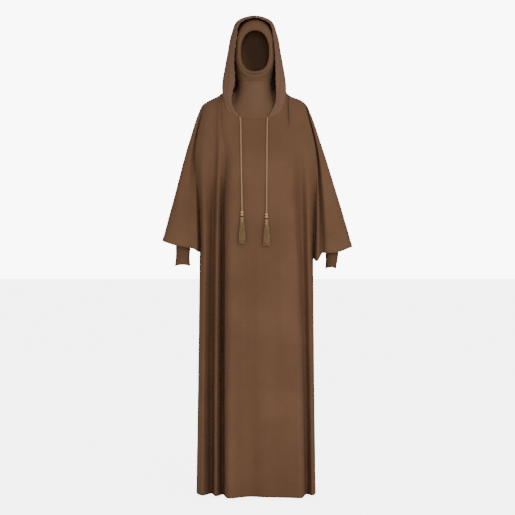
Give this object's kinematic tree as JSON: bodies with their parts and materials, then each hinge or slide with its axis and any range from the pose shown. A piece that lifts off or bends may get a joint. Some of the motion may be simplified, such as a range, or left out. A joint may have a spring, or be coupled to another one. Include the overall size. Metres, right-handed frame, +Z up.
{
  "type": "hooded abaya",
  "caption": "Full-length hooded batwing robe, worn shape with no wearer: wide sleeves with fitted inner cuffs, gathered outer hood with drawstrings, close inner hood and neck cover.",
  "frame": {"origin": "midway between the two side neck points, where the garment lies on its wearer's shoulders", "axes": "+Z up along the body, front towards -Y, +X to the right as seen from the front"},
  "size_m": [0.6672, 0.3093, 1.6822],
  "materials": {
    "body_cloth": "matte woven crepe, camel brown",
    "hood_cloth": "matte woven crepe, camel brown",
    "inner_cloth": "matte woven crepe, camel brown",
    "cuff_cloth": "matte knit, a little darker than the body",
    "braid": "golden brown braided cord, soft sheen",
    "bead": "smooth golden brown",
    "dark_ring": "smooth dark brown",
    "tassel_thread": "golden brown thread, soft sheen"
  },
  "bodies": {
    "root": {"front_panel": "body_cloth", "back_panel": "body_cloth", "front_sleeve_left": "body_cloth", "front_sleeve_right": "body_cloth", "back_sleeve_left": "body_cloth", "back_sleeve_right": "body_cloth", "hood_left_half": "hood_cloth", "hood_right_half": "hood_cloth", "hood_casing_left": "hood_cloth", "hood_casing_right": "hood_cloth", "inner_hood": "inner_cloth", "inner_neck": "inner_cloth", "face_binding": "inner_cloth", "cuff_left": "cuff_cloth", "cuff_right": "cuff_cloth", "drawstring_left": "braid", "drawstring_right": "braid", "ball_bead_left": "bead", "ball_bead_right": "bead", "collar_bead_left": "bead", "collar_bead_right": "bead", "dark_ring_left": "dark_ring", "dark_ring_right": "dark_ring", "tassel_left": "tassel_thread", "tassel_right": "tassel_thread"}
  },
  "joints": []
}
